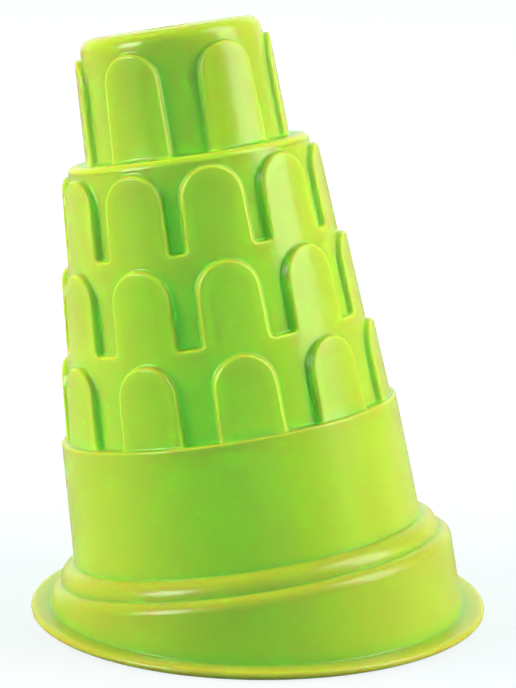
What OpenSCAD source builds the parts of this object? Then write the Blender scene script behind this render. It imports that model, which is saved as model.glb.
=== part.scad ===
// A leaning arcaded tower that is pressed into damp sand to leave a tower behind.
// It is a thin shell, open underneath. Every step goes outwards on the way down,
// so that the sand lets go. The sections below stack face to face along an axis
// that leans towards -X. The origin is the centre of the rim's underside.

/* [Whole moulding] */
// Lean of the tower's axis from upright, in degrees
lean = 10.2; // [7:0.1:13]
// Wall of the moulding, the same all over
wall = 2; // [1.4:0.1:2.6]
// Rounding of the outer edge of each ledge
ledge_edge = 1; // [0.4:0.1:1.4]

/* [Roof] */
// Radius of the tower where its side would meet the roof
roof_r = 27.5; // [25:0.1:31]
// Height of the roof cap with its rounded edge
roof_h = 4.8; // [4.3:0.1:6]
// Rounding of the roof's outer edge
roof_edge = 4.2; // [2.7:0.1:4.7]
// Radius of the shallow dish in the roof
dish_r = 8.5; // [5:0.1:14]
// Depth of the dish
dish_depth = 1.2; // [0.6:0.1:1.8]

/* [Belfry] */
// Height of the belfry's wall under the roof cap
belfry_h = 32.5; // [32:0.1:44]
// Growth of the belfry's radius from its top to its foot
belfry_flare = 1.8; // [0.8:0.1:4]
// Number of tall arches round the belfry
belfry_arches = 6; // [4:1:6]
// How far a tall arch stands out of the belfry's wall
belfry_relief = 2.05; // [1.2:0.05:2.8]
// Width of a tall arch where its round head springs
belfry_arch_w = 17.8; // [12:0.1:20]
// Height of a tall arch from its foot to its crown
belfry_arch_h = 31.5; // [24:0.1:32]
// Width of the flat ledge outside the feet of the tall arches
belfry_ledge = 5.55; // [2:0.05:8]

/* [Arcade] */
// Height of one row of arches
row_h = 27.6; // [26.5:0.1:34]
// Growth of the radius from the top of a row to its foot
row_flare = 2.2; // [1:0.1:4]
// Number of arches in a row
arches = 10; // [6:1:10]
// How far an arch stands out of its row's wall
arch_relief = 2.3; // [1.4:0.1:3]
// Width of an arch where its round head springs
arch_w = 18.8; // [14:0.1:19.4]
// Height of an arch from its foot to its crown
arch_h = 24.3; // [18:0.1:24.5]
// Widening of every arch's side towards its foot, in degrees
arch_draft = 2.3; // [0:0.1:3]

/* [Drum] */
// Height of the plain drum under the arcade
drum_h = 38; // [25:0.1:50]
// Growth of the drum's radius from its top to its foot
drum_flare = 2.15; // [1:0.05:5]
// Width of the ledge outside the feet of the lowest arches
drum_ledge = 1.55; // [1.45:0.05:4]

/* [Base] */
// Height of the rounded step under the drum
step_h = 5.4; // [5:0.1:9]
// How far the step stands out of the drum, and its rounding
step_out = 4.9; // [3:0.1:5.2]
// How far the shoulder of the skirt stands out of the step
shoulder_out = 3.7; // [2.8:0.1:6]
// Slope of the skirt's wall to its own axis, in degrees
skirt_draft = 5.3; // [5.2:0.1:8]
// Height of the shoulder above the rim on the low side
skirt_low = 3.7; // [2:0.1:8]

/* [Rim] */
// How far the flat rim stands out of the skirt
rim_out = 6.5; // [3:0.1:12]
// Thickness of the flat rim, which has a round edge
rim_t = 2.3; // [1.5:0.1:3.5]

/* [Hidden] */

$fn = 96;
lime = "#9ccb3b";

// Straight pieces that a short arc in a profile is drawn with
arc_steps = 6;
// How far a cutter runs past the face that it cuts
past = 1;

// Rows of the arcade, numbered from the top down
upper = 0;
middle = 1;
lower = 2;
rows = 3;

// Radii, each found from the one above it
belfry_foot_r = roof_r + belfry_flare;
arcade_top_r = belfry_foot_r + belfry_relief + belfry_ledge;
row_growth = row_flare + arch_relief;
drum_top_r = arcade_top_r + rows * row_growth + drum_ledge;
drum_foot_r = drum_top_r + drum_flare;
step_r = drum_foot_r + step_out;
shoulder_r = step_r + shoulder_out;

// Levels along the leaning axis, measured from the ground
shoulder_s = (rim_t + skirt_low + shoulder_r * sin(lean)) / cos(lean);
drum_s = shoulder_s + step_h;
arcade_s = drum_s + drum_h;
belfry_s = arcade_s + rows * row_h;
roof_s = belfry_s + belfry_h;

// The skirt's axis lies halfway between upright and the tower's axis. The shift
// centres the skirt's slanting top on the tower's axis.
shoulder_round = shoulder_out;
skirt_s = shoulder_s - shoulder_round;
skirt_shift = shoulder_r * tan(lean / 2) * tan(skirt_draft);
skirt_drop = skirt_s * cos(lean / 2);
rim_r = shoulder_r + (skirt_drop - rim_t) * tan(skirt_draft) + rim_out;
// The shoulder's ring is a little wider than the skirt, so that they meet in a clean edge
shoulder_slack = 0.3;

// Points of an arc about centre, from angle a0 to angle a1
function arc(centre, r, a0, a1) =
    [for (i = [0 : arc_steps]) let (a = a0 + (a1 - a0) * i / arc_steps)
        centre + r * [cos(a), sin(a)]];

// Half outline of a solid tub with sloping side and a round upper edge
function tub(foot_r, top_r, h, edge) =
    let (slope = atan((foot_r - top_r) / h))
    concat([[0, 0], [foot_r, 0]],
           arc([top_r - edge * tan(45 - slope / 2), h - edge], edge, slope, 90),
           [[0, h]]);

// Radius of the wall at the top of a row
function row_top_r(row) = arcade_top_r + row * row_growth;

// Radius of the wall at the foot of that row
function row_foot_r(row) = row_top_r(row) + row_flare;

// Distance along the axis from the ground to the foot of that row
function row_s(row) = arcade_s + (lower - row) * row_h;

// Puts its children on the leaning axis, at a distance s from the ground
module on_axis(s) rotate([0, -lean, 0]) translate([0, 0, s]) children();

// Everything above the top face of the rim
module above_rim() {
    span = 4 * rim_r;
    translate([-span / 2, -span / 2, rim_t]) cube([span, span, span]);
}

// Upright outline of one arch: straight sides that spread downwards, and a round head
module arch_outline(w, h, drop) {
    head = w / 2;
    spring = h - head;
    foot = head + (spring + drop) * tan(arch_draft);
    polygon([[-foot, -drop], [foot, -drop], [head, spring], [-head, spring]]);
    translate([0, spring]) circle(head);
}

// A ring of arch-shaped bars that point outwards, between two radii
module arch_bars(count, w, h, inner_r, outer_r, drop = 0)
    for (i = [0 : count - 1])
        rotate([0, 0, (i + 0.5) * 360 / count])
            translate([inner_r, 0, 0])
                rotate([90, 0, 90])
                    linear_extrude(outer_r - inner_r) arch_outline(w, h, drop);

// A ring of arches that stand out by relief from a wall that slopes from foot_r to top_r
module raised_arches(count, w, arch_top, foot_r, top_r, h, relief)
    intersection() {
        cylinder(h = h, r1 = foot_r + relief, r2 = top_r + relief);
        arch_bars(count, w, arch_top, top_r - wall / 2, foot_r + relief + past);
    }

// The hollows behind those arches. They run down through the ledge that carries the wall.
module arch_hollows(count, w, arch_top, foot_r, top_r, h, relief) {
    fall = (foot_r - top_r) / h;
    drop = wall;
    intersection() {
        translate([0, 0, -drop])
            cylinder(h = h + drop, r1 = foot_r + relief - wall + drop * fall, r2 = top_r + relief - wall);
        arch_bars(count, w - 2 * wall, arch_top - wall, top_r - 2 * wall, foot_r + relief + past, drop);
    }
}

// Arches and hollows of one row of the arcade, standing on its foot
module row_arches(row)
    raised_arches(arches, arch_w, arch_h, row_foot_r(row), row_top_r(row), row_h, arch_relief);

module row_hollows(row)
    arch_hollows(arches, arch_w, arch_h, row_foot_r(row), row_top_r(row), row_h, arch_relief);

// Radius of the belfry's wall at a height h, on a slope that runs on into the roof cap
function belfry_r(h) = belfry_foot_r - belfry_flare * h / (belfry_h + roof_h);

// The hollows behind the belfry's arches
module belfry_hollows()
    arch_hollows(belfry_arches, belfry_arch_w, belfry_arch_h,
                 belfry_foot_r, belfry_r(belfry_h), belfry_h, belfry_relief);

// The space inside a sloping wall, up to the ledge that closes it
module wall_inside(foot_r, top_r, h) {
    fall = (foot_r - top_r) / h;
    translate([0, 0, -past])
        cylinder(h = h - wall + past, r1 = foot_r - wall + past * fall, r2 = top_r - wall + wall * fall);
}

// A stepped tub: a sloping wall that turns inwards into a ledge. The ledge is open in the
// middle, where the next wall stands on it.
module ledged_wall(foot_r, top_r, h, opening_r)
    difference() {
        rotate_extrude() polygon(tub(foot_r, top_r, h, ledge_edge));
        wall_inside(foot_r, top_r, h);
        cylinder(h = h + past, r = opening_r);
    }

// One row of the arcade, under a ledge that is open to what stands on it
module arcade_row(row, opening_r)
    difference() {
        union() {
            ledged_wall(row_foot_r(row), row_top_r(row), row_h, opening_r);
            row_arches(row);
        }
        row_hollows(row);
        wall_inside(row_foot_r(row), row_top_r(row), row_h);
    }

// The skirt's wall as a solid cone on its own axis, made smaller by inset
module skirt_cone(inset) {
    reach = 2 * skirt_drop + shoulder_r * tan(lean);
    on_axis(skirt_s)
        translate([skirt_shift, 0, 0])
            rotate([0, lean / 2, 0])
                translate([0, 0, -reach])
                    cylinder(h = 2 * reach,
                             r1 = shoulder_r - inset + reach * tan(skirt_draft),
                             r2 = shoulder_r - inset - reach * tan(skirt_draft));
}

// The round shoulder that closes the skirt, as a solid ring about the tower's axis
module shoulder_dome(inset) {
    round_r = shoulder_round - inset;
    edge_r = shoulder_r + shoulder_slack - inset;
    depth = 2 * shoulder_s + shoulder_r * tan(lean);
    on_axis(shoulder_s - inset)
        rotate_extrude()
            polygon(concat([[0, -depth], [edge_r + depth, -depth]],
                           arc([edge_r - round_r, -round_r], round_r, 0, 90),
                           [[0, 0]]));
}

module rim_flange() color(lime)
    difference() {
        rotate_extrude()
            polygon(concat([[0, 0]], arc([rim_r - rim_t / 2, rim_t / 2], rim_t / 2, -90, 90), [[0, rim_t]]));
        skirt_cone(wall);
    }

module base_skirt() color(lime)
    difference() {
        intersection() {
            skirt_cone(0);
            shoulder_dome(0);
            above_rim();
        }
        intersection() {
            skirt_cone(wall);
            shoulder_dome(wall);
        }
        on_axis(shoulder_s - 2 * wall) cylinder(h = 3 * wall, r = step_r - wall);
    }

module base_step() color(lime)
    on_axis(shoulder_s)
        rotate_extrude()
            polygon(concat([[step_r - wall, 0], [step_r, 0]],
                           arc([drum_foot_r, step_h - step_out], step_out, 0, 90),
                           [[drum_foot_r - wall, step_h], [drum_foot_r - wall, step_h - wall]],
                           arc([drum_foot_r, step_h - step_out], step_out - wall, 90, 0)));

module drum_wall() color(lime)
    on_axis(drum_s)
        difference() {
            ledged_wall(drum_foot_r, drum_top_r, drum_h, row_foot_r(lower) - wall);
            translate([0, 0, drum_h]) row_hollows(lower);
        }

module lower_arcade() color(lime)
    on_axis(row_s(lower))
        difference() {
            arcade_row(lower, row_foot_r(middle) - wall);
            translate([0, 0, row_h]) row_hollows(middle);
        }

module middle_arcade() color(lime)
    on_axis(row_s(middle))
        difference() {
            arcade_row(middle, row_foot_r(upper) - wall);
            translate([0, 0, row_h]) row_hollows(upper);
        }

module upper_arcade() color(lime)
    on_axis(row_s(upper))
        difference() {
            arcade_row(upper, belfry_foot_r - wall);
            translate([0, 0, row_h]) belfry_hollows();
        }

module belfry_wall() color(lime)
    on_axis(belfry_s)
        difference() {
            union() {
                cylinder(h = belfry_h, r1 = belfry_foot_r, r2 = belfry_r(belfry_h));
                raised_arches(belfry_arches, belfry_arch_w, belfry_arch_h,
                              belfry_foot_r, belfry_r(belfry_h), belfry_h, belfry_relief);
            }
            cylinder(h = belfry_h, r1 = belfry_foot_r - wall, r2 = belfry_r(belfry_h) - wall);
            belfry_hollows();
        }

// A solid roof, made smaller by inset
module roof_tub(inset)
    rotate_extrude()
        polygon(tub(belfry_r(belfry_h) - inset, roof_r - inset, roof_h - inset, roof_edge - inset));

// The dish as a round plug that is larger by outset. It cuts the roof from above, and the
// larger one keeps the wall under it.
module dish_plug(outset)
    translate([0, 0, roof_h - dish_depth - outset])
        cylinder(h = roof_h, r = dish_r + outset);

module roof_cap() color(lime)
    on_axis(roof_s)
        difference() {
            roof_tub(0);
            difference() {
                roof_tub(wall);
                dish_plug(wall);
            }
            dish_plug(0);
        }

rim_flange();
base_skirt();
base_step();
drum_wall();
lower_arcade();
middle_arcade();
upper_arcade();
belfry_wall();
roof_cap();
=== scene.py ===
# %% [markdown]
# ## A leaning tower for the sandpit
# This lesson dresses a sand mould: a hollow, leaning, arcaded tower that is moulded in one shot of
# glossy, slightly see-through lime plastic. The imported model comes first, as a fixed frame in metres.
# Everything that is made later is worked out in that frame, so nothing has to be fitted by eye.

# %% Load the frame
from dataclasses import dataclass, replace

import bmesh
import bpy
import numpy as np
from mathutils import Matrix, Vector


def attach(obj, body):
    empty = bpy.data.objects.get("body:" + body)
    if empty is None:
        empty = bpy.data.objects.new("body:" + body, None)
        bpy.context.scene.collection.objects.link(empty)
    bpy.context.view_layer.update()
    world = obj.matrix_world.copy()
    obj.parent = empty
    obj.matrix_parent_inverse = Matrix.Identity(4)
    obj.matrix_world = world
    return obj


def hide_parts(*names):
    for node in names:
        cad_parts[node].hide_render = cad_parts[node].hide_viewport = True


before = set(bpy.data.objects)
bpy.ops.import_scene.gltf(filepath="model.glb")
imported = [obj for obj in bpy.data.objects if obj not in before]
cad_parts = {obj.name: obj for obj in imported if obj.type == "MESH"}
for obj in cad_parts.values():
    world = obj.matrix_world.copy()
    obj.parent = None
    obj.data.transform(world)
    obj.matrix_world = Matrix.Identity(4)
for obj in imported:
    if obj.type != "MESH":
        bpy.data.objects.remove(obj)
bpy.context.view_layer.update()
print("Sections in the frame:", ", ".join(sorted(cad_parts)))

# %% [markdown]
# ## Sizes
# The real shell has one wall thickness nearly everywhere, and each storey stands on the one below. So a
# few sizes per storey are enough, and the radii follow from the roof downwards, one from the other.
# The same chain drives the solid model, so the skin below lands on it, apart from small fillets.

# %% Driving sizes, in metres
MM = 0.001
LEAN = np.radians(10.2)
WALL = 2.0 * MM

ROOF_R = 27.5 * MM
ROOF_H = 4.8 * MM
ROOF_ROUND = 4.2 * MM
DISH_R = 8.5 * MM
DISH_DEPTH = 1.2 * MM

BELFRY_H = 32.5 * MM
BELFRY_FLARE = 1.8 * MM
BELFRY_ARCHES = 6
BELFRY_RELIEF = 2.05 * MM
BELFRY_HEAD_R = 8.9 * MM
BELFRY_CROWN = 31.5 * MM
BELFRY_LEDGE = 5.55 * MM

ROW_H = 27.6 * MM
ROW_FLARE = 2.2 * MM
ROWS = 3
ARCHES = 10
ARCH_RELIEF = 2.3 * MM
ARCH_HEAD_R = 9.4 * MM
ARCH_CROWN = 24.3 * MM
ARCH_DRAFT = np.radians(2.3)

DRUM_H = 38.0 * MM
DRUM_FLARE = 2.15 * MM
DRUM_LEDGE = 1.55 * MM
STEP_H = 5.4 * MM
STEP_OUT = 4.9 * MM
SHOULDER_OUT = 3.7 * MM
SKIRT_DRAFT = np.radians(5.3)
SKIRT_LOW = 3.7 * MM
RIM_OUT = 6.5 * MM
RIM_T = 2.3 * MM

# %% Radii and levels that follow from them
BELFRY_FOOT_R = ROOF_R + BELFRY_FLARE
BELFRY_SLOPE = BELFRY_FLARE / (BELFRY_H + ROOF_H)
ARCADE_TOP_R = BELFRY_FOOT_R + BELFRY_RELIEF + BELFRY_LEDGE
ROW_SLOPE = ROW_FLARE / ROW_H
DRUM_TOP_R = ARCADE_TOP_R + ROWS * (ROW_FLARE + ARCH_RELIEF) + DRUM_LEDGE
DRUM_FOOT_R = DRUM_TOP_R + DRUM_FLARE
DRUM_SLOPE = DRUM_FLARE / DRUM_H
STEP_R = DRUM_FOOT_R + STEP_OUT
SHOULDER_R = STEP_R + SHOULDER_OUT

SHOULDER_S = (RIM_T + SKIRT_LOW + SHOULDER_R * np.sin(LEAN)) / np.cos(LEAN)
DRUM_S = SHOULDER_S + STEP_H
ARCADE_S = DRUM_S + DRUM_H
BELFRY_S = ARCADE_S + ROWS * ROW_H
ROOF_S = BELFRY_S + BELFRY_H
SKIRT_DROP = (SHOULDER_S - SHOULDER_OUT) * np.cos(LEAN / 2)
RIM_R = SHOULDER_R + (SKIRT_DROP - RIM_T) * np.tan(SKIRT_DRAFT) + RIM_OUT
print(f"Rim {2000 * RIM_R:.1f} mm across, roof {1000 * (ROOF_S + ROOF_H):.1f} mm up the axis")

# %% [markdown]
# ## Places on a leaning axis
# Every storey is round about one axis that leans. A point is given by its distance from that axis, its
# angle round it and its distance along it, and one short function carries it into the frame.

# %% From the tower's own coordinates to the frame
def on_tower(rho, theta, s):
    """A point rho from the axis, turned theta round it and s along it, tipped over by the lean."""
    rho, theta, s = np.broadcast_arrays(rho, theta, s)
    across = rho * np.cos(theta)
    return np.stack([across * np.cos(LEAN) - s * np.sin(LEAN),
                     rho * np.sin(theta),
                     across * np.sin(LEAN) + s * np.cos(LEAN)], axis=-1)


def revolved(rho, s, theta):
    """A profile of (rho, s) points carried round the axis through the angles theta, and closed."""
    round_again = np.append(theta, theta[0] + 2 * np.pi)
    return on_tower(np.asarray(rho)[:, None], round_again[None, :], np.asarray(s)[:, None])


# %% [markdown]
# ## Collecting surfaces into one skin
# The real mould has no seams, so its look needs one closed skin: an outer surface, an inner surface one
# wall behind it, and the rim that joins them. Each storey adds its own grid of points. Where two grids
# have different columns, as at the two ledges, a ring of triangles zips their edges together.
#
# A see-through plastic looks greener where light reaches it only through more plastic, and yellower on
# an outward edge, where light comes in from two sides. That is painted into the colour: every point also
# carries a painted shade, by how deep it lies in a gap, and a painted highlight, by how near it lies to
# an outward edge, and the material reads both later.

# %% Grids, zips and the lists that collect them
skin_points = []
skin_faces = []
skin_painted_light = []


def add_faces(points, faces, gap=0.0, painted_highlight=0.0):
    """Adds points with their painted shade and painted highlight, and the faces that number them, after what
    is there already.
    """
    start = sum(len(p) for p in skin_points)
    shape = points.shape[:-1]
    painted_amounts = np.stack([np.broadcast_to(gap, shape), np.broadcast_to(painted_highlight, shape)], axis=-1)
    skin_points.append(points.reshape(-1, 3))
    skin_painted_light.append(painted_amounts.reshape(-1, 2))
    skin_faces.extend((faces + start).tolist())


def add_grid(points, gap=0.0, painted_highlight=0.0):
    """Adds a grid of points as quads, each between two neighbouring rows and columns."""
    rows, columns = points.shape[:2]
    index = np.arange(rows * columns).reshape(rows, columns)
    quads = np.stack([index[:-1, :-1], index[:-1, 1:], index[1:, 1:], index[1:, :-1]], axis=-1)
    add_faces(points, quads.reshape(-1, 4), gap, painted_highlight)


def fading(points, row, reach):
    """1 on one row of a grid, and less on the others: e to the minus distance over reach, with the
    distance measured along each column."""
    steps = np.linalg.norm(np.diff(points, axis=0), axis=-1)
    along = np.concatenate([np.zeros_like(steps[:1]), np.cumsum(steps, axis=0)])
    return np.exp(-np.abs(along - along[row]) / reach)


def add_zip(rho_a, theta_a, rho_b, theta_b, s, gap=0.0, painted_highlight=0.0):
    """Zips two closed loops at one level. Each edge of a loop makes a triangle with the point of the
    other loop that has been reached by then, going round the axis. The painted shade is the first loop's
    and the painted highlight the second's."""
    end_a = np.append(theta_a[1:], theta_a[0] + 2 * np.pi)
    end_b = np.append(theta_b[1:], theta_b[0] + 2 * np.pi)
    count_a, count_b = len(theta_a), len(theta_b)
    a, b = np.arange(count_a), np.arange(count_b)
    reached_b = np.searchsorted(end_b, end_a, side="left") % count_b
    reached_a = np.searchsorted(end_a, end_b, side="right") % count_a
    from_a = np.stack([a, (a + 1) % count_a, count_a + reached_b], axis=-1)
    from_b = np.stack([reached_a, count_a + (b + 1) % count_b, count_a + b], axis=-1)
    points = np.concatenate([on_tower(rho_a, theta_a, s), on_tower(rho_b, theta_b, s)])
    first = np.arange(count_a + count_b) < count_a
    add_faces(points, np.concatenate([from_a, from_b]), gap * first, painted_highlight * ~first)


# %% [markdown]
# ## The edge of a raised arch
# Each blind arch stands out of its wall like a tongue. Its edge is what catches the light: a round turn
# off the face, a steep side with a little draft so that the sand lets go, and a hollow turn onto the
# wall. The profile is carried along the arch's outline later.

# %% Cross-section of the edge
EDGE_DRAFT = np.radians(6)
SUPPORT = 0.15 * MM


def edge_profile(relief, face_round, wall_round, steps):
    """Distance from the outline, and height over the wall, from the arch's face to the wall: an arc
    off the face, a straight side and an arc onto the wall, with a flat support at either end."""
    turn = np.pi / 2 - EDGE_DRAFT
    half_side = relief / 2 * np.tan(EDGE_DRAFT)
    angle = np.linspace(0, turn, steps)
    off_d = -half_side - face_round * (np.tan(turn / 2) - np.sin(angle))
    off_h = relief - face_round * (1 - np.cos(angle))
    onto_d = half_side + wall_round * (np.tan(turn / 2) - np.sin(angle[::-1]))
    onto_h = wall_round * (1 - np.cos(angle[::-1]))
    distance = np.concatenate([[off_d[0] - SUPPORT], off_d, onto_d, [onto_d[-1] + SUPPORT]])
    height = np.concatenate([[relief], off_h, onto_h, [0]])
    return distance, height


# %% [markdown]
# ## One ring of arches
# A square grid would cut across the round heads and leave ragged edges. So the grid follows the arch
# instead: its rows start on the middle line of the tongue, cross the edge at a right angle and end in
# the gap. Half an arch is worked out once, then mirrored and turned round the tower.
#
# In the two upper rows the tongues are flush with the wall below them, so the edge runs on across the
# foot of the gap as a small ledge. In the lowest row and the belfry the tongues stand on a wide ledge.

# %% What describes a ring of arches
@dataclass
class ArchRing:
    """Heights are measured along the axis from the ring's foot, and lengths are in metres."""
    foot_s: float
    foot_r: float
    slope: float
    count: int
    head_r: float
    crown: float
    relief: float
    ledge: float
    low: float
    high: float
    standing: bool
    fillet: float
    face_round: float
    wall_round: float
    corner_r: float
    columns: int
    head_rows: int
    side_rows: int
    edge_steps: int
    fill: int

    @property
    def half(self):
        """Angle from the middle of an arch to the middle of a gap."""
        return np.pi / self.count

    def wall_r(self, y):
        """Radius of the wall at height y: a cone, and at the foot a hollow quarter round."""
        rise = np.clip(self.fillet - (y - self.ledge), 0, self.fillet)
        hollow = self.fillet - np.sqrt(self.fillet ** 2 - rise ** 2)
        return self.foot_r - self.slope * y + hollow

    def line_angles(self):
        """Angles of the columns along the ring's upper end, once round the tower."""
        one_half = np.linspace(0, self.half, self.columns)
        one_bay = np.concatenate([-one_half[::-1], one_half[1:-1]])
        middles = (np.arange(self.count) + 0.5) * 2 * self.half
        return (middles[:, None] + one_bay[None, :]).ravel()


# %% Rows of the grid: along the round head
def head_part(ring):
    """Rays from the centre of the head. The first ones end on evenly spaced columns of the ring's upper
    end, and the rest end on the middle line of the gap."""
    centre = ring.crown - ring.head_r
    line = np.linspace(0, ring.half, ring.columns)
    to_line = np.arctan2(ring.high - centre, ring.wall_r(ring.high) * np.sin(line))
    to_gap = np.linspace(to_line[-1], ARCH_DRAFT, ring.head_rows + 1)[1:]
    reach = (ring.foot_r - ring.slope * centre) * np.sin(ring.half)
    reach = reach / (np.cos(to_gap) + ring.slope * np.sin(ring.half) * np.sin(to_gap))
    turn = np.concatenate([to_line, to_gap])
    return dict(x=ring.head_r * np.cos(turn), y=centre + ring.head_r * np.sin(turn),
                across=np.cos(turn), up=np.sin(turn), radial=np.ones_like(turn),
                start_angle=np.zeros_like(turn), start_y=np.full_like(turn, centre),
                end_angle=np.concatenate([line, np.full_like(to_gap, ring.half)]),
                end_y=np.concatenate([np.full_like(line, ring.high), centre + reach * np.sin(to_gap)]))


# %% Rows of the grid: down the side
def side_part(ring):
    """Level rows from the tongue's middle line to the gap's. The side spreads by its draft, and on a
    ledge also by the hollow round at its foot, where the rows come closer together."""
    top = ring.crown - ring.head_r + ring.head_r * np.sin(ARCH_DRAFT)
    foot = ring.ledge if ring.standing else ring.ledge + ring.corner_r * (1 - np.sin(ARCH_DRAFT))
    y = np.linspace(top, foot + ring.fillet, ring.side_rows + 1)[1:]
    if ring.standing:
        turn = np.linspace(0, np.pi / 2, ring.edge_steps + 1)[1:]
        y = np.append(y, ring.ledge + ring.fillet * (1 - np.sin(turn)))
    spread = ring.wall_r(y) - (ring.foot_r - ring.slope * y)
    x = ring.head_r * np.cos(ARCH_DRAFT) + (top - y) * np.tan(ARCH_DRAFT) + spread
    end_y = y
    if not ring.standing:
        gap = ring.wall_r(ring.ledge) * np.sin(ring.half) - x[-1]
        end_y = np.interp(y, [foot, top], [ring.ledge + gap, top])
    return dict(x=x, y=y, across=np.ones_like(y), up=np.zeros_like(y), radial=np.ones_like(y),
                start_angle=np.zeros_like(y), start_y=y,
                end_angle=np.full_like(y, ring.half), end_y=end_y)


# %% Rows of the grid: round the corner and across the foot of the gap
def foot_part(ring, side):
    """Rays fan out from the centre of the small corner round to the tongue's middle line and the ring's
    lower end, then run straight down from the foot of the gap. In the gap all of them meet in one point."""
    centre_x = side["x"][-1] + ring.corner_r * np.cos(ARCH_DRAFT)
    centre_y = ring.ledge + ring.corner_r
    line = np.linspace(0, ring.half, ring.columns)
    line_x = ring.wall_r(ring.ledge) * np.sin(line)
    to_middle = np.linspace(ARCH_DRAFT, np.arctan2(centre_y - ring.low, centre_x), num=4)[1:-1]
    to_line = np.arctan2(centre_y - ring.low, np.maximum(centre_x - line_x, 0))
    turn = np.concatenate([to_middle, to_line])
    along = np.concatenate([np.full_like(to_middle, centre_x), np.maximum(centre_x, line_x)])
    return dict(x=along - ring.corner_r * np.cos(turn), y=centre_y - ring.corner_r * np.sin(turn),
                across=np.cos(turn), up=np.sin(turn), radial=np.cos(turn) ** 2,
                start_angle=np.concatenate([np.zeros_like(to_middle), line]),
                start_y=np.concatenate([centre_y - centre_x * np.tan(to_middle),
                                        np.full_like(line, ring.low)]),
                end_angle=np.full_like(turn, ring.half),
                end_y=np.full_like(turn, side["end_y"][-1]))


# %% Half an arch as a grid of angle, height and distance from the axis
def half_arch(ring):
    """Each row goes from its start over the tongue's face, across the edge profile and over the wall to
    its end. A sideways step x becomes an angle by arcsine of x over the distance from the axis. Gives
    the angle, height, distance from the axis, share of the relief and distance from the outline."""
    side = side_part(ring)
    parts = [head_part(ring), side] if ring.standing else [head_part(ring), side, foot_part(ring, side)]
    row = {key: np.concatenate([part[key] for part in parts])[:, None] for key in side}
    distance, height = edge_profile(ring.relief, ring.face_round, ring.wall_round, ring.edge_steps)
    edge_y = row["y"] + distance * row["up"]
    outline_r = ring.wall_r(row["y"])
    turning_r = outline_r + row["radial"] * (ring.wall_r(edge_y) + height - outline_r)
    edge_angle = np.arcsin((row["x"] + distance * row["across"]) / turning_r)

    share = np.linspace(0, 1, ring.fill + 1)
    face, wall = share[:-1], share[1:]
    angle = np.concatenate([row["start_angle"] + face * (edge_angle[:, :1] - row["start_angle"]), edge_angle,
                            edge_angle[:, -1:] + wall * (row["end_angle"] - edge_angle[:, -1:])], axis=1)
    y = np.concatenate([row["start_y"] + face * (edge_y[:, :1] - row["start_y"]), edge_y,
                        edge_y[:, -1:] + wall * (row["end_y"] - edge_y[:, -1:])], axis=1)
    raised = np.concatenate([np.full(ring.fill, ring.relief), height, np.zeros(ring.fill)])
    face_d = distance[0] - (1 - face) * np.hypot(outline_r * (edge_angle[:, :1] - row["start_angle"]),
                                                 edge_y[:, :1] - row["start_y"])
    wall_d = distance[-1] + wall * np.hypot(outline_r * (row["end_angle"] - edge_angle[:, -1:]),
                                            row["end_y"] - edge_y[:, -1:])
    from_outline = np.concatenate([face_d, np.broadcast_to(distance, edge_y.shape), wall_d], axis=1)
    return angle, y, ring.wall_r(y) + raised, raised / ring.relief, from_outline


# %% Painted shade and highlight of a ring of arches
# How strong the painted shade is all over a gap and in its corners, and how far the painted shade and
# highlight reach
GAP_SHADE_SHARE = 0.15
CORNER_SHADE_SHARE = 0.6
SHADE_CORNER_REACH = 0.9 * MM
SHADE_FADE = 9.0 * MM
FOOT_SHADE_REACH = 0.7 * MM
HIGHLIGHT_WIDTH = 0.5 * MM
HIGHLIGHT_FADE = 0.8 * MM


def arch_painted_light(ring, y, raised, from_outline):
    """The painted shade is strongest in the corner beside a tongue and fades out towards the ring's upper
    end. The painted highlight is full on the tongue's round edge and fades out over its face."""
    corner = np.exp(-np.maximum(from_outline, 0) / SHADE_CORNER_REACH)
    under_top = np.clip((ring.high - y) / SHADE_FADE, 0, 1)
    gap = (1 - raised) * (GAP_SHADE_SHARE * under_top + CORNER_SHADE_SHARE * corner)
    if ring.standing:
        gap = np.maximum(gap, np.exp(-(y - ring.ledge) / FOOT_SHADE_REACH))
    painted_highlight = raised ** 2 * np.exp(np.minimum(from_outline + HIGHLIGHT_WIDTH, 0) / HIGHLIGHT_FADE)
    return gap, painted_highlight


# %% A whole ring
def add_arch_ring(ring):
    """Adds every half arch of a ring and gives the loop at its foot: distance from the axis and angle,
    sorted round the tower."""
    angle, y, rho, raised, from_outline = half_arch(ring)
    # Painted shade in the gaps and corners, and a painted highlight on the tongues' round edges
    gap, painted_highlight = arch_painted_light(ring, y, raised, from_outline)
    middles = (np.arange(ring.count) + 0.5) * 2 * ring.half
    loop_rho, loop_theta = [], []
    for middle in middles:
        for side in (-1, 1):
            add_grid(on_tower(rho, middle + side * angle, ring.foot_s + y), gap, painted_highlight)
            loop_rho.append(rho[-1])
            loop_theta.append(middle + side * angle[-1])
    loop_theta = np.concatenate(loop_theta)
    loop_rho = np.concatenate(loop_rho)
    loop_theta, first = np.unique(np.round(loop_theta, 9), return_index=True)
    return loop_rho[first], loop_theta


# %% [markdown]
# ## Outside and inside of each ring
# The inside follows the outside at one wall thickness: the head's radius, the crown and the wall's radius
# all lose a wall, and the ledge moves down by one. The inside is seen only from below, so it is given
# fewer rows and columns.

# %% The rings, outside
# Rows meet this far below a ledge, between its edge and the crowns below
BAND = 1.9 * MM

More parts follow.
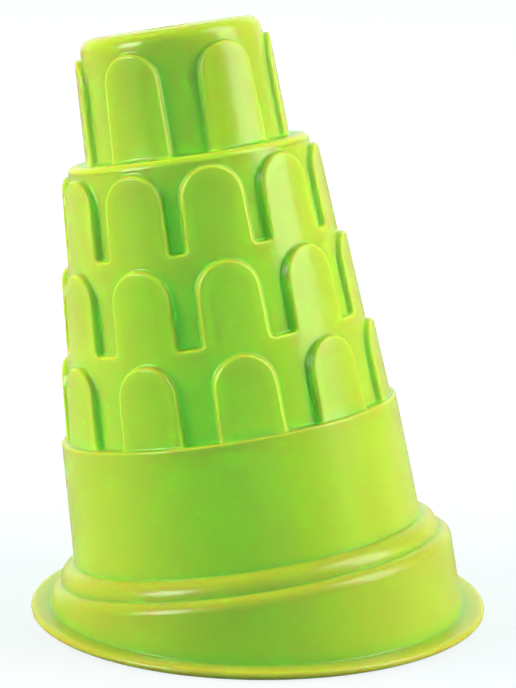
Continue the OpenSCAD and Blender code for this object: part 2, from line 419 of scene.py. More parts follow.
upper_ring = ArchRing(
    foot_s=ARCADE_S + 2 * ROW_H, foot_r=ARCADE_TOP_R + ROW_FLARE, slope=ROW_SLOPE, count=ARCHES,
    head_r=ARCH_HEAD_R, crown=ARCH_CROWN, relief=ARCH_RELIEF, ledge=0.0, low=-BAND, high=ROW_H - BAND,
    standing=False, fillet=0.0, face_round=0.9 * MM, wall_round=0.7 * MM, corner_r=1.0 * MM,
    columns=13, head_rows=7, side_rows=5, edge_steps=6, fill=3)
row_growth = ROW_FLARE + ARCH_RELIEF
middle_ring = replace(upper_ring, foot_s=ARCADE_S + ROW_H, foot_r=upper_ring.foot_r + row_growth)
lower_ring = replace(upper_ring, foot_s=ARCADE_S, foot_r=upper_ring.foot_r + 2 * row_growth,
                     low=0.0, standing=True, fillet=0.7 * MM)
belfry_ring = replace(lower_ring, foot_s=BELFRY_S, foot_r=BELFRY_FOOT_R, slope=BELFRY_SLOPE,
                      count=BELFRY_ARCHES, head_r=BELFRY_HEAD_R, crown=BELFRY_CROWN,
                      relief=BELFRY_RELIEF, high=BELFRY_H, columns=19, fillet=1.1 * MM)


# %% The same rings, one wall further in
def inside_of(ring):
    """The ring's inner surface: every outline and level of the ring moved in by one wall."""
    return replace(ring, foot_r=ring.foot_r - WALL, head_r=ring.head_r - WALL, crown=ring.crown - WALL,
                   ledge=ring.ledge - WALL, low=ring.low - WALL, high=ring.high - WALL,
                   fillet=min(ring.fillet, 0.3 * MM), face_round=0.5 * MM, wall_round=0.5 * MM,
                   corner_r=1.4 * MM, columns=9, head_rows=4, side_rows=3, edge_steps=3, fill=2)


for ring in (lower_ring, middle_ring, upper_ring, belfry_ring):
    print(f"{ring.count} arches, wall {2000 * ring.foot_r:.1f} mm across at the foot")

# %% [markdown]
# ## The base
# The base has to turn a leaning tower into a level rim. Its skirt is a cone whose axis lies halfway
# between the two, so that it is low on the leaning side and high on the other. In each slice through the
# tower's axis the skirt is a straight line that meets the shoulder's arc without a kink, and only its
# slope changes on the way round. Corners are eased with short curves, as a mould maker eases them.

# %% Helpers for profiles
BASE_COLUMNS = 224
base_theta = (np.arange(BASE_COLUMNS) + 0.5) * 2 * np.pi / BASE_COLUMNS
ones = np.ones(BASE_COLUMNS)


def arc(centre_rho, centre_s, radius, start, end, steps):
    """Rows of an arc in the slice through the axis, from angle start to angle end above level."""
    angle = np.linspace(start * ones, end * ones, steps)
    return centre_rho + radius * np.cos(angle), centre_s + radius * np.sin(angle)


def eased(first, corner, last, steps):
    """Rows that turn a corner on a parabola, from the first point to the last, drawn to the corner."""
    u = np.linspace(0, 1, steps)[:, None, None]
    return (1 - u) ** 2 * first + 2 * u * (1 - u) * corner + u ** 2 * last


def level_ring(radius, angle, z):
    """A level circle, or any loop with its own radius at each angle, about the upright axis."""
    return np.stack([radius * np.cos(angle), radius * np.sin(angle), z * np.ones_like(angle)], axis=-1)


def add_closed(rows, gap=0.0, painted_highlight=0.0):
    """Adds rows of points that each go once round, joined up behind."""
    rows = np.stack(rows)
    again = np.append(np.arange(BASE_COLUMNS), 0)
    gap, painted_highlight = [np.broadcast_to(tone, rows.shape[:2])[:, again] for tone in (gap, painted_highlight)]
    add_grid(rows[:, again], gap, painted_highlight)


# %% The skirt in slices through the axis
def skirt_slice(inset, level):
    """The shoulder's arc made smaller by inset, the slope of the skirt under it, and how far down that
    slope the level plane lies, for every column."""
    slope = SKIRT_DRAFT - LEAN / 2 * np.cos(base_theta)
    radius = SHOULDER_OUT - inset
    rho = STEP_R + radius * np.cos(slope)
    s = SHOULDER_S - SHOULDER_OUT + radius * np.sin(slope)
    z = rho * np.cos(base_theta) * np.sin(LEAN) + s * np.cos(LEAN)
    fall = np.cos(slope) * np.cos(LEAN) - np.sin(slope) * np.cos(base_theta) * np.sin(LEAN)
    return slope, rho, s, (z - level) / fall


def down_skirt(inset, level, back=0.0):
    """Points where the skirt meets a level plane, or a distance back up its slope from there."""
    slope, rho, s, length = skirt_slice(inset, level)
    along = length - back
    return on_tower(rho + along * np.sin(slope), base_theta, s - along * np.cos(slope))


def inner_rim_edge():
    """Radius and angle of the edge where the skirt's inside meets the level rim underside."""
    edge = down_skirt(WALL, 0.0)
    return np.hypot(edge[:, 0], edge[:, 1]), np.arctan2(edge[:, 1], edge[:, 0])


# %% Rows of the rim, the skirt and the drum, outside
RIM_FILLET = 0.6 * MM
CREASE = 0.15 * MM
DRUM_EDGE = 0.8 * MM
# Where rows are set: over the rim's top, up the skirt, and away from the drum's corners. They lie closer
# together near a corner, because the painted shade and highlight change faster there.
RIM_TOP_SHARES = (0.75, 0.5, 0.3)
SKIRT_SHARES = (0.06, 0.15, 0.3, 0.5, 0.75)
NEAR_CORNER = np.array([0.4, 0.9, 1.6, 2.8, 5.0, 9.0]) * MM


def rim_rows():
    """Rows of the round rim edge, of its top, and of the skirt up to its shoulder. The fillet at the
    skirt's foot gets smaller on the low side, where the skirt is short."""
    corner = down_skirt(0, RIM_T)
    angle = np.arctan2(corner[:, 1], corner[:, 0])
    corner_r = np.hypot(corner[:, 0], corner[:, 1])
    turn = np.linspace(-np.pi / 2, np.pi / 2, num=9)
    edge_r = RIM_R - RIM_T / 2 + RIM_T / 2 * np.cos(turn)
    edge_z = RIM_T / 2 + RIM_T / 2 * np.sin(turn)
    edge = [level_ring(r, angle, z) for r, z in zip(edge_r, edge_z)]
    length = skirt_slice(0, RIM_T)[3]
    fillet_r = np.minimum(RIM_FILLET, length / 2)
    top = [level_ring(corner_r + share * (edge_r[-1] - corner_r), angle, RIM_T) for share in RIM_TOP_SHARES]
    foot = eased(level_ring(corner_r + fillet_r, angle, RIM_T), corner,
                 down_skirt(0, RIM_T, fillet_r), steps=6)
    skirt = [down_skirt(0, RIM_T, fillet_r + share * (length - fillet_r)) for share in SKIRT_SHARES]
    return dict(rim_edge=edge, rim_top=top, skirt_foot=list(foot), skirt=skirt)


def drum_rows():
    """Rows of the drum and of its round upper edge, and the radius where that edge ends."""
    lean_in = np.arctan(DRUM_SLOPE)
    edge_centre = DRUM_TOP_R - DRUM_EDGE * np.tan(np.pi / 4 - lean_in / 2)
    edge_r, edge_s = arc(edge_centre, ARCADE_S - DRUM_EDGE, DRUM_EDGE, lean_in, np.pi / 2, steps=8)
    edge = on_tower(edge_r, base_theta, edge_s)
    levels = np.concatenate([DRUM_S + NEAR_CORNER, (ARCADE_S - DRUM_EDGE - NEAR_CORNER)[::-1]])
    wall = [on_tower(DRUM_FOOT_R - (s - DRUM_S) * DRUM_SLOPE, base_theta, s) for s in levels]
    return dict(drum=wall, drum_edge=list(edge)), edge_centre


# %% The base, outside
# The shoulder and the step end a little short of level, where the next corner begins
SHOULDER_END = np.radians(86)
STEP_END = np.radians(87)
# Strength and reach of the painted shade from the base's hollow corners and the painted highlight on its
# outward edges
BASE_PAINTED_SHADE = {"skirt_foot": (0.8, 2.5 * MM), "step_foot": (0.7, 0.7 * MM), "drum_foot": (0.7, 0.9 * MM)}
BASE_PAINTED_HIGHLIGHT = {"rim_edge": (1.0, 1.6 * MM), "drum_edge": (0.5, 0.8 * MM)}


def strongest(rows, middle, painted_amounts):
    """The strongest, at each point, of several fading amounts of painted shade, or of painted highlight, from
    the middle rows of their stretches.
    """
    return np.maximum.reduce([strength * fading(rows, middle[name], reach)
                              for name, (strength, reach) in painted_amounts.items()])


def add_base_outside():
    """Rows from the inner edge of the rim's underside, round the rim and up to the drum's ledge.
    Gives the radius of the ledge's last loop."""
    slope = skirt_slice(0, RIM_T)[0]
    shoulder_r, shoulder_s = arc(STEP_R, SHOULDER_S - SHOULDER_OUT, SHOULDER_OUT,
                                 slope, SHOULDER_END, steps=12)
    step_foot = eased(on_tower(shoulder_r[-1], base_theta, shoulder_s[-1]),
                      on_tower(STEP_R, base_theta, SHOULDER_S),
                      on_tower(STEP_R, base_theta, SHOULDER_S + CREASE), steps=4)
    step_r, step_s = arc(DRUM_FOOT_R, DRUM_S - STEP_OUT, STEP_OUT, 0, STEP_END, steps=14)
    drum_foot = eased(on_tower(step_r[-1], base_theta, step_s[-1]),
                      on_tower(DRUM_FOOT_R, base_theta, DRUM_S),
                      on_tower(DRUM_FOOT_R - CREASE * DRUM_SLOPE, base_theta, DRUM_S + CREASE), steps=4)
    upper_rows, edge_centre = drum_rows()
    stretches = dict(underside=[level_ring(*inner_rim_edge(), 0.0)], **rim_rows(),
                     shoulder=list(on_tower(shoulder_r, base_theta, shoulder_s)),
                     step_foot=list(step_foot[1:]),
                     step=list(on_tower(step_r, base_theta, step_s)),
                     drum_foot=list(drum_foot[1:]), **upper_rows)
    rows = np.stack([row for stretch in stretches.values() for row in stretch])
    starts = np.cumsum([0] + [len(stretch) for stretch in stretches.values()])
    middle = {name: (first + last - 1) // 2 for name, first, last in zip(stretches, starts, starts[1:])}
    # Painted shade in the base's hollow corners and a painted highlight on the rim's and the drum's edges
    add_closed(rows, strongest(rows, middle, BASE_PAINTED_SHADE), strongest(rows, middle, BASE_PAINTED_HIGHLIGHT))
    return edge_centre


# %% The same base, inside
def add_base_inside():
    """Rows from the inner edge of the rim's underside up to the underside of the drum's ledge. Gives the
    radius of the last loop."""
    slope = skirt_slice(WALL, 0.0)[0]
    shoulder_r, shoulder_s = arc(STEP_R, SHOULDER_S - SHOULDER_OUT, SHOULDER_OUT - WALL,
                                 slope, np.pi / 2, steps=5)
    step_r, step_s = arc(DRUM_FOOT_R, DRUM_S - STEP_OUT, STEP_OUT - WALL, 0, np.pi / 2, steps=6)
    top_r = DRUM_TOP_R - WALL + WALL * DRUM_SLOPE
    rows = [level_ring(*inner_rim_edge(), 0.0), *on_tower(shoulder_r, base_theta, shoulder_s),
            on_tower(STEP_R - WALL, base_theta, SHOULDER_S - WALL),
            *on_tower(step_r, base_theta, step_s),
            on_tower(DRUM_FOOT_R - WALL, base_theta, DRUM_S - WALL),
            on_tower(top_r, base_theta, ARCADE_S - WALL)]
    add_closed(rows)
    return top_r


# %% [markdown]
# ## Ledge and roof
# These two are turned shapes: one profile each, carried round the axis on the columns of the ring
# that they join. The roof has a shallow round dish in the middle, where the plastic was let into the
# mould, with soft edges.

# %% The wide ledge over the upper row
LEDGE_EDGE = 2.2 * MM
# Strength of the painted highlight on the ledge's round edge
LEDGE_HIGHLIGHT = 0.9


def add_upper_ledge():
    """The wall above the upper row, the round edge and the start of the flat ledge. Gives the radius of
    the last loop and its angles."""
    theta = upper_ring.line_angles()
    lean_in = np.arctan(ROW_SLOPE)
    centre_r = ARCADE_TOP_R - LEDGE_EDGE * np.tan(np.pi / 4 - lean_in / 2)
    turn = np.linspace(lean_in, np.pi / 2, num=9)
    rho = centre_r + LEDGE_EDGE * np.cos(turn)
    s = BELFRY_S - LEDGE_EDGE + LEDGE_EDGE * np.sin(turn)
    start = upper_ring.wall_r(upper_ring.high)
    ledge = revolved([start, *rho, centre_r - SUPPORT],
                     [upper_ring.foot_s + upper_ring.high, *s, BELFRY_S], theta)
    # A painted highlight along the ledge's round edge
    add_grid(ledge, painted_highlight=LEDGE_HIGHLIGHT * fading(ledge, len(rho) // 2, LEDGE_EDGE))
    return centre_r - SUPPORT, theta


def add_upper_ledge_inside(ring):
    """The inner wall above the upper row, up to the underside of the ledge. Gives the radius of the last
    loop and its angles."""
    theta = ring.line_angles()
    top = ROW_H - WALL
    add_grid(revolved([ring.wall_r(ring.high), ring.wall_r(top)],
                      [ring.foot_s + ring.high, ring.foot_s + top], theta))
    return ring.wall_r(top), theta


# %% The roof with its round edge and its dish
DISH_ROUND = 0.5 * MM
DISH_TURN = np.radians(70)
UNDERSIDE_EASE = 1.0 * MM
# Strength of the painted highlight on the roof's round edge
ROOF_HIGHLIGHT = 0.3


def add_roof():
    """A profile from the belfry's upper end over the round edge to the dish and its middle."""
    lean_in = np.arctan(BELFRY_SLOPE)
    roof_s = ROOF_S + ROOF_H
    centre_r = ROOF_R - ROOF_ROUND * np.tan(np.pi / 4 - lean_in / 2)
    turn = np.linspace(lean_in, np.pi / 2, num=12)
    dish_turn = np.linspace(0, DISH_TURN, num=5)
    lip_r = DISH_R + DISH_ROUND - DISH_ROUND * np.sin(dish_turn)
    lip_s = roof_s - DISH_ROUND * (1 - np.cos(dish_turn))
    floor_r = DISH_R - 2 * DISH_ROUND + DISH_ROUND * np.sin(dish_turn[::-1])
    floor_s = roof_s - DISH_DEPTH + DISH_ROUND * (1 - np.cos(dish_turn[::-1]))
    rho = [belfry_ring.wall_r(belfry_ring.high), *(centre_r + ROOF_ROUND * np.cos(turn)),
           centre_r - SUPPORT, (centre_r + DISH_R) / 2, DISH_R + DISH_ROUND + SUPPORT, *lip_r,
           *floor_r, DISH_R / 2, 0.0]
    s = [ROOF_S, *(roof_s - ROOF_ROUND + ROOF_ROUND * np.sin(turn)), roof_s, roof_s, roof_s, *lip_s,
         *floor_s, roof_s - DISH_DEPTH, roof_s - DISH_DEPTH]
    roof = revolved(rho, s, belfry_ring.line_angles())
    # A painted highlight along the roof's round edge
    add_grid(roof, painted_highlight=ROOF_HIGHLIGHT * fading(roof, len(turn) // 2, ROOF_ROUND))


def add_roof_inside(ring):
    """The underside of the roof, with the pad that keeps the wall under the dish."""
    under = ROOF_S + ROOF_H - WALL
    pad = under - DISH_DEPTH
    side_r = ring.foot_r - ring.slope * (BELFRY_H + ROOF_H - WALL)
    rho = [ring.wall_r(ring.high), side_r, side_r - UNDERSIDE_EASE, DISH_R + WALL, DISH_R + WALL, DISH_R, 0.0]
    s = [ring.foot_s + ring.high, under - UNDERSIDE_EASE, under, under, pad, pad, pad]
    add_grid(revolved(rho, s, ring.line_angles()))


# %% [markdown]
# ## Putting the skin together
# Now the storeys are added from the rim to the roof, first outside and then inside. Points that lie on
# each other are merged, and the faces are turned outwards once for the whole closed skin.

# %% Add every storey, outside and inside
# Painted highlight that is left on the flat of the two ledges, where the storey above stands
DRUM_LEDGE_HIGHLIGHT = 0.3
UPPER_LEDGE_HIGHLIGHT = 0.4

drum_ledge_r = add_base_outside()
lower_loop = add_arch_ring(lower_ring)
# Each zip paints full shade into the crease at the foot of the storey above, and some painted highlight on
# the ledge
add_zip(*lower_loop, drum_ledge_r * ones, base_theta, ARCADE_S, gap=1.0, painted_highlight=DRUM_LEDGE_HIGHLIGHT)
add_arch_ring(middle_ring)
add_arch_ring(upper_ring)
upper_r, upper_theta = add_upper_ledge()
belfry_loop = add_arch_ring(belfry_ring)
add_zip(*belfry_loop, np.full_like(upper_theta, upper_r), upper_theta, BELFRY_S,
        gap=1.0, painted_highlight=UPPER_LEDGE_HIGHLIGHT)
add_roof()

inner_drum_r = add_base_inside()
inner_lower = add_arch_ring(inside_of(lower_ring))
add_zip(*inner_lower, inner_drum_r * ones, base_theta, ARCADE_S - WALL)
add_arch_ring(inside_of(middle_ring))
add_arch_ring(inside_of(upper_ring))
inner_upper_r, inner_upper_theta = add_upper_ledge_inside(inside_of(upper_ring))
inner_belfry = add_arch_ring(inside_of(belfry_ring))
add_zip(*inner_belfry, np.full_like(inner_upper_theta, inner_upper_r), inner_upper_theta, BELFRY_S - WALL)
add_roof_inside(inside_of(belfry_ring))
print("Faces collected:", len(skin_faces))


# %% Weld the skin and turn its faces outwards
MERGE = 0.0005 * MM
SHARP = np.radians(40)


def welded(name, points, faces, painted_amounts):
    """A mesh object from points, faces and each point's painted shade and highlight, with doubles merged and
    faces turned outwards.
    """
    mesh = bpy.data.meshes.new(name)
    mesh.from_pydata(points, [], faces)
    # The painted shade and painted highlight become point attributes, which the material reads
    for tone, values in zip(("painted_gap_shade", "painted_lip_highlight"), painted_amounts.T):
        layer = mesh.attributes.new(tone, "FLOAT", "POINT")
        layer.data.foreach_set("value", values.astype(np.float32))
    shell = bmesh.new()
    shell.from_mesh(mesh)
    bmesh.ops.remove_doubles(shell, verts=shell.verts, dist=MERGE)
    bmesh.ops.recalc_face_normals(shell, faces=shell.faces)
    open_edges = sum(1 for edge in shell.edges if len(edge.link_faces) != 2)
    triangles = sum(len(face.verts) - 2 for face in shell.faces)
    print(f"{name}: {triangles} triangles, {open_edges} open edges, {shell.calc_volume() * 1e6:.1f} cm3")
    shell.to_mesh(mesh)
    shell.free()
    mesh.shade_smooth()
    mesh.set_sharp_from_angle(angle=SHARP)
    piece = bpy.data.objects.new(name, mesh)
    bpy.context.scene.collection.objects.link(piece)
    return piece


tower_shell = welded("tower_shell", np.concatenate(skin_points), skin_faces, np.concatenate(skin_painted_light))

# %% [markdown]
# ## Lime plastic
# The plastic is polypropylene: glossy, evenly coloured and a little see-through. Light that falls on one
# side travels in the wall and in the hollow behind it, and comes out greener, which is why the
# shaded gaps glow green. Subsurface scattering with a longer reach for green than for red gives that,
# and the colour strengthens it with a painted shade in the gaps and a painted highlight on the lips.
# The skin of a real moulding is never quite flat, so a broad faint ripple and a fine grain break up
# the reflections a little.

# %% The plastic's colours, reach and noise
# Plain plastic lies between two limes; the other two colours are a painted shade for gaps and a painted
# highlight for lips
LIME = (0.51, 0.71, 0.072, 1)
LIGHT_LIME = (0.55, 0.74, 0.076, 1)
PAINTED_SHADE_GREEN = (0.23, 0.69, 0.100, 1)
PAINTED_HIGHLIGHT_YELLOW = (0.66, 0.88, 0.085, 1)
# How far green light spreads in the wall, and the reach of red, green and blue against that
GREEN_REACH = 2.5 * MM
REACH = (0.12, 1.0, 0.10)
ROUGHNESS = (0.20, 0.28)
# Noise in cycles per metre: drifts of colour, smears of roughness, a broad ripple and a fine grain
DRIFTS = 45
SMEARS = 180
RIPPLE = 60
GRAIN = 2500


# %% The plastic's nodes
def lime_plastic():
    """A principled surface whose colour, roughness and bump vary a little with noise. The colour also
    takes the skin's painted shade and painted highlight."""
    material = bpy.data.materials.new("lime_plastic")
    material.use_nodes = True
    nodes, links = material.node_tree.nodes, material.node_tree.links
    shader = nodes["Principled BSDF"]
    shader.inputs["IOR"].default_value = 1.5
    shader.inputs["Subsurface Weight"].default_value = 1.0
    shader.inputs["Subsurface Radius"].default_value = REACH
    shader.inputs["Subsurface Scale"].default_value = GREEN_REACH

    place = nodes.new("ShaderNodeTexCoord")

    def noise(scale, detail):
        """Noise on the object's own coordinates, in cycles per metre."""
        node = nodes.new("ShaderNodeTexNoise")
        node.inputs["Scale"].default_value = scale
        node.inputs["Detail"].default_value = detail
        links.new(place.outputs["Object"], node.inputs["Vector"])
        return node

    tint = nodes.new("ShaderNodeMix")
    tint.data_type = "RGBA"
    tint.inputs["A"].default_value = LIME
    tint.inputs["B"].default_value = LIGHT_LIME
    links.new(noise(DRIFTS, detail=2).outputs["Fac"], tint.inputs["Factor"])

    def painted_over(colour, attribute, tone):
        """A colour painted over with a shade or highlight colour where the mesh's attribute is 1."""
        amount = nodes.new("ShaderNodeAttribute")
        amount.attribute_name = attribute
        mix = nodes.new("ShaderNodeMix")
        mix.data_type = "RGBA"
        mix.inputs["B"].default_value = tone
        links.new(amount.outputs["Fac"], mix.inputs["Factor"])
        links.new(colour.outputs["Result"], mix.inputs["A"])
        return mix

    # Painted shade in the gaps, then a painted highlight on the edges
    shaded = painted_over(tint, "painted_gap_shade", PAINTED_SHADE_GREEN)
    with_highlight = painted_over(shaded, "painted_lip_highlight", PAINTED_HIGHLIGHT_YELLOW)
    links.new(with_highlight.outputs["Result"], shader.inputs["Base Color"])

    rough = nodes.new("ShaderNodeMapRange")
    rough.inputs["To Min"].default_value, rough.inputs["To Max"].default_value = ROUGHNESS
    links.new(noise(SMEARS, detail=3).outputs["Fac"], rough.inputs["Value"])
    links.new(rough.outputs["Result"], shader.inputs["Roughness"])

    def bump(height, strength, distance):
        """A bump that follows a noise, with its distance in metres."""
        node = nodes.new("ShaderNodeBump")
        node.inputs["Strength"].default_value = strength
        node.inputs["Distance"].default_value = distance
        links.new(height.outputs["Fac"], node.inputs["Height"])
        return node

    ripple = bump(noise(RIPPLE, detail=1), strength=0.15, distance=0.1 * MM)
    grain = bump(noise(GRAIN, detail=2), strength=0.05, distance=0.02 * MM)
    links.new(ripple.outputs["Normal"], grain.inputs["Normal"])
    links.new(grain.outputs["Normal"], shader.inputs["Normal"])
    return material


tower_shell.data.materials.append(lime_plastic())
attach(tower_shell, "root")
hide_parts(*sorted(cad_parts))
print("Material:", tower_shell.active_material.name)

# %% [markdown]
# ## Camera
# The camera stands to the right of the tower's leaning side, a little above it, with a long lens. It is
# built from its own three directions, so that the slight roll of the picture is easy to add.

# %% Camera
PICTURE_HEIGHT = 688
FOCAL_PIXELS = 2692.4
SENSOR = 36.0
VIEW_AZIMUTH = np.radians(26.0)
VIEW_ELEVATION = np.radians(12.4)
VIEW_ROLL = np.radians(0.62)
VIEW_DISTANCE = 820.9 * MM
VIEW_TARGET = Vector((-0.88 * MM, 0.0, 83.15 * MM))

view_back = Vector((np.sin(VIEW_AZIMUTH) * np.cos(VIEW_ELEVATION),
                    -np.cos(VIEW_AZIMUTH) * np.cos(VIEW_ELEVATION), np.sin(VIEW_ELEVATION)))
view_right = Vector((np.cos(VIEW_AZIMUTH), np.sin(VIEW_AZIMUTH), 0.0))
view_up = view_back.cross(view_right)
rolled_right = np.cos(VIEW_ROLL) * view_right + np.sin(VIEW_ROLL) * view_up
rolled_up = np.cos(VIEW_ROLL) * view_up - np.sin(VIEW_ROLL) * view_right

camera_data = bpy.data.cameras.new("camera")
camera_data.lens = FOCAL_PIXELS * SENSOR / PICTURE_HEIGHT
camera_data.sensor_width = SENSOR
camera = bpy.data.objects.new("camera", camera_data)
camera.matrix_world = Matrix.Translation(VIEW_TARGET + VIEW_DISTANCE * view_back) @ Matrix(
    (rolled_right, rolled_up, view_back)).transposed().to_4x4()
bpy.context.scene.collection.objects.link(camera)
bpy.context.scene.camera = camera
print(f"Lens {camera_data.lens:.1f} mm at {VIEW_DISTANCE:.3f} m")

# %% [markdown]
# ## Studio
# The mould stands on a plain table in a dim room. To the camera the room and the table are white all
# round, but the table still takes the mould's shadow. Reflections see the backdrop behind the mould as
# white, which gives the pale edges, and the rest of the room and the table as a part of that white.

# %% White to the eye, dim to the mould
REFLECTED_WHITE = 0.25


def maths(nodes, links, operation, first, second):
    """The result of a math node on two values, each a number or another node's output."""
    node = nodes.new("ShaderNodeMath")
    node.operation = operation
    for socket, value in zip(node.inputs, (first, second)):
        if isinstance(value, float):
            socket.default_value = value
        else:
            links.new(value, socket)
    return node.outputs["Value"]


def seen_white(nodes, links, reflected):
    """1 for the camera's own rays, the value reflected for rays that a glossy or see-through surface
    sends, and 0 for all other light."""
    path = nodes.new("ShaderNodeLightPath").outputs
    sent_on = maths(nodes, links, "MAXIMUM", path["Is Glossy Ray"], path["Is Transmission Ray"])
    share = maths(nodes, links, "MULTIPLY", sent_on, reflected)
    return maths(nodes, links, "MAXIMUM", path["Is Camera Ray"], share)


# %% The room and its white backdrop
ROOM_LIGHT = 0.04
# The way to the backdrop, and the cosines of the angles from it where the backdrop starts and is white
AWAY = (-np.sin(VIEW_AZIMUTH), np.cos(VIEW_AZIMUTH), 0.0)
BACKDROP_STARTS = 0.55
BACKDROP_WHITE = 0.95

world = bpy.data.worlds.new("studio")
world.use_nodes = True
bpy.context.scene.world = world
world_nodes, world_links = world.node_tree.nodes, world.node_tree.links
direction = world_nodes.new("ShaderNodeTexCoord")
behind = world_nodes.new("ShaderNodeVectorMath")
behind.operation = "DOT_PRODUCT"
behind.inputs[1].default_value = AWAY
world_links.new(direction.outputs["Generated"], behind.inputs[0])
backdrop = world_nodes.new("ShaderNodeMapRange")
backdrop.interpolation_type = "SMOOTHSTEP"
backdrop.inputs["From Min"].default_value = BACKDROP_STARTS
backdrop.inputs["From Max"].default_value = BACKDROP_WHITE
backdrop.inputs["To Min"].default_value = REFLECTED_WHITE
backdrop.inputs["To Max"].default_value = 1.0
world_links.new(behind.outputs["Value"], backdrop.inputs["Value"])
world_seen = seen_white(world_nodes, world_links, backdrop.outputs["Result"])
room = world_nodes["Background"]
room.inputs["Color"].default_value = (1, 1, 1, 1)
world_links.new(maths(world_nodes, world_links, "MAXIMUM", world_seen, ROOM_LIGHT), room.inputs["Strength"])
print(f"White backdrop within {np.degrees(np.arccos(BACKDROP_WHITE)):.0f} degrees of straight behind")

# %% The table
TABLE_HALF = 3.0
# A bluish grey takes out the warm tint of the keys
TABLE_GREY = (0.20, 0.28, 0.36, 1)
TABLE_LIGHT = (0.95, 0.99, 1, 1)
# Near the mould the table's own light is a share of white, which leaves room for the shadow. Further
# out it is white. Both reaches are in metres from the middle.
TABLE_GLOW = 0.73
NEAR_MOULD = 0.10
FAR_OUT = 0.50

table_mesh = bpy.data.meshes.new("table")
table_mesh.from_pydata([(-TABLE_HALF, -TABLE_HALF, 0), (TABLE_HALF, -TABLE_HALF, 0),
                        (TABLE_HALF, TABLE_HALF, 0), (-TABLE_HALF, TABLE_HALF, 0)], [], [(0, 1, 2, 3)])
table = bpy.data.objects.new("table", table_mesh)
bpy.context.scene.collection.objects.link(table)

table_white = bpy.data.materials.new("table_white")
table_white.use_nodes = True
table_nodes, table_links = table_white.node_tree.nodes, table_white.node_tree.links
table_shader = table_nodes["Principled BSDF"]
table_shader.inputs["Base Color"].default_value = TABLE_GREY
table_shader.inputs["Roughness"].default_value = 0.6
table_shader.inputs["Specular IOR Level"].default_value = 0.0
table_shader.inputs["Emission Color"].default_value = TABLE_LIGHT
table_place = table_nodes.new("ShaderNodeTexCoord")
table_reach = table_nodes.new("ShaderNodeVectorMath")
table_reach.operation = "LENGTH"
table_links.new(table_place.outputs["Object"], table_reach.inputs[0])
table_glow = table_nodes.new("ShaderNodeMapRange")
table_glow.interpolation_type = "SMOOTHSTEP"
table_glow.inputs["From Min"].default_value = NEAR_MOULD
table_glow.inputs["From Max"].default_value = FAR_OUT
table_glow.inputs["To Min"].default_value = TABLE_GLOW
table_glow.inputs["To Max"].default_value = 1.0
table_links.new(table_reach.outputs["Value"], table_glow.inputs["Value"])
table_seen = seen_white(table_nodes, table_links, REFLECTED_WHITE)
table_links.new(maths(table_nodes, table_links, "MULTIPLY", table_seen, table_glow.outputs["Result"]),
                table_shader.inputs["Emission Strength"])
table_mesh.materials.append(table_white)
print(f"Table {2 * TABLE_HALF:.0f} m wide, white from {FAR_OUT} m out")

# %% [markdown]
# ## Lamps
# Two warm keys light the mould from either side, so that its middle stays darker, and a weak box behind
# and above lights its ledges. Three cards are only seen in the gloss: two make the highlights, and a
# faint wide one in front lies over the middle.

# %% The soft boxes
LAMP_AIM = Vector((-15 * MM, 0, 80 * MM))
LAMP_DISTANCE = 1.2
WARM_WHITE = (1.0, 0.68, 0.50)


def soft_box(name, turn, raised, wide, tall, radiance):
    """An area lamp that faces the tower from a direction turned from the camera and raised above level,
    in degrees. Its size is the angle that it fills, and its power is radiance times area times pi."""
    lamp = bpy.data.lights.new(name, "AREA")
    lamp.shape = "RECTANGLE"
    lamp.size = 2 * LAMP_DISTANCE * np.tan(np.radians(wide / 2))
    lamp.size_y = 2 * LAMP_DISTANCE * np.tan(np.radians(tall / 2))
    lamp.energy = radiance * np.pi * lamp.size * lamp.size_y
    around, up = VIEW_AZIMUTH + np.radians(turn), np.radians(raised)
    towards = Vector((np.sin(around) * np.cos(up), -np.cos(around) * np.cos(up), np.sin(up)))
    box = bpy.data.objects.new(name, lamp)
    box.matrix_world = (Matrix.Translation(LAMP_AIM + LAMP_DISTANCE * towards)
                        @ (-towards).to_track_quat("-Z", "Y").to_matrix().to_4x4())
    bpy.context.scene.collection.objects.link(box)
    print(f"{name}: {lamp.size:.2f} by {lamp.size_y:.2f} m, {lamp.energy:.1f} W")
    return box


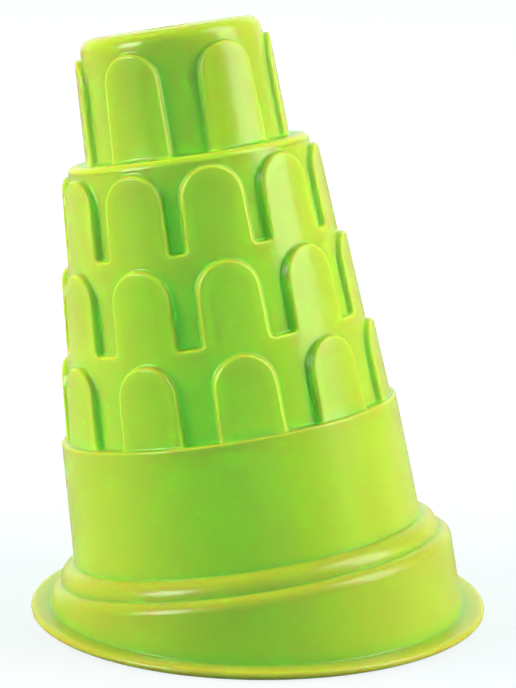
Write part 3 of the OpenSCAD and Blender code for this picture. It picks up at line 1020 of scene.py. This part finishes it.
left_card = soft_box("left_card", turn=-58, raised=23, wide=24, tall=28, radiance=9.0)
left_key = soft_box("left_key", turn=-89, raised=25, wide=38, tall=50, radiance=7.2)
right_card = soft_box("right_card", turn=78, raised=36, wide=30, tall=56, radiance=4.4)
right_key = soft_box("right_key", turn=85, raised=25, wide=36, tall=50, radiance=7.4)
front_card = soft_box("front_card", turn=0, raised=15, wide=70, tall=60, radiance=0.4)
back_box = soft_box("back_box", turn=180, raised=58, wide=60, tall=50, radiance=1.6)

for card in (left_card, right_card, front_card):
    card.visible_diffuse = False
for key in (left_key, right_key):
    key.data.color = WARM_WHITE
for lamp in (left_key, right_key, back_box):
    lamp.visible_glossy = False

# %% [markdown]
# ## Light in the hollow
# In daylight a part of the light goes through the far wall, fills the hollow and comes out
# towards us, greener each time. The renderer follows only one such passage along a ray, so a few weak
# lamps on the axis stand in for the light that has already come through the far wall.

# %% Weak lamps on the axis
# A lamp's watts are GLOW times the square of the hollow's radius in metres, times a share. The shares
# are given at the rim, at the arcades' foot and under the roof, so that the base glows most.
GLOW = 20.0
GLOW_SHARES = (2.0, 1.15, 1.0)
GLOW_LAMP_R = 10 * MM
# The lamps' places, as shares of the way up to the roof
GLOW_PLACES = np.linspace(0.04, 0.88, num=8)

for number, place in enumerate(GLOW_PLACES):
    inside_s = place * ROOF_S
    outside_r = np.interp(inside_s, [0, DRUM_S, BELFRY_S, ROOF_S], [RIM_R, STEP_R, ARCADE_TOP_R, ROOF_R])
    share = np.interp(inside_s, [0, ARCADE_S, ROOF_S], GLOW_SHARES)
    glow = bpy.data.lights.new(f"glow_{number}", "POINT")
    glow.energy = GLOW * (outside_r - WALL) ** 2 * share
    glow.shadow_soft_size = GLOW_LAMP_R
    glow_lamp = bpy.data.objects.new(f"glow_{number}", glow)
    glow_lamp.location = Vector(on_tower(0.0, 0.0, inside_s))
    bpy.context.scene.collection.objects.link(glow_lamp)
print("Lamps in the hollow:", len(GLOW_PLACES))

# %% [markdown]
# ## Finish
# Colours should come out as they are written, so the view transform is the plain one.

# %% Finish
bpy.context.scene.view_settings.view_transform = "Standard"
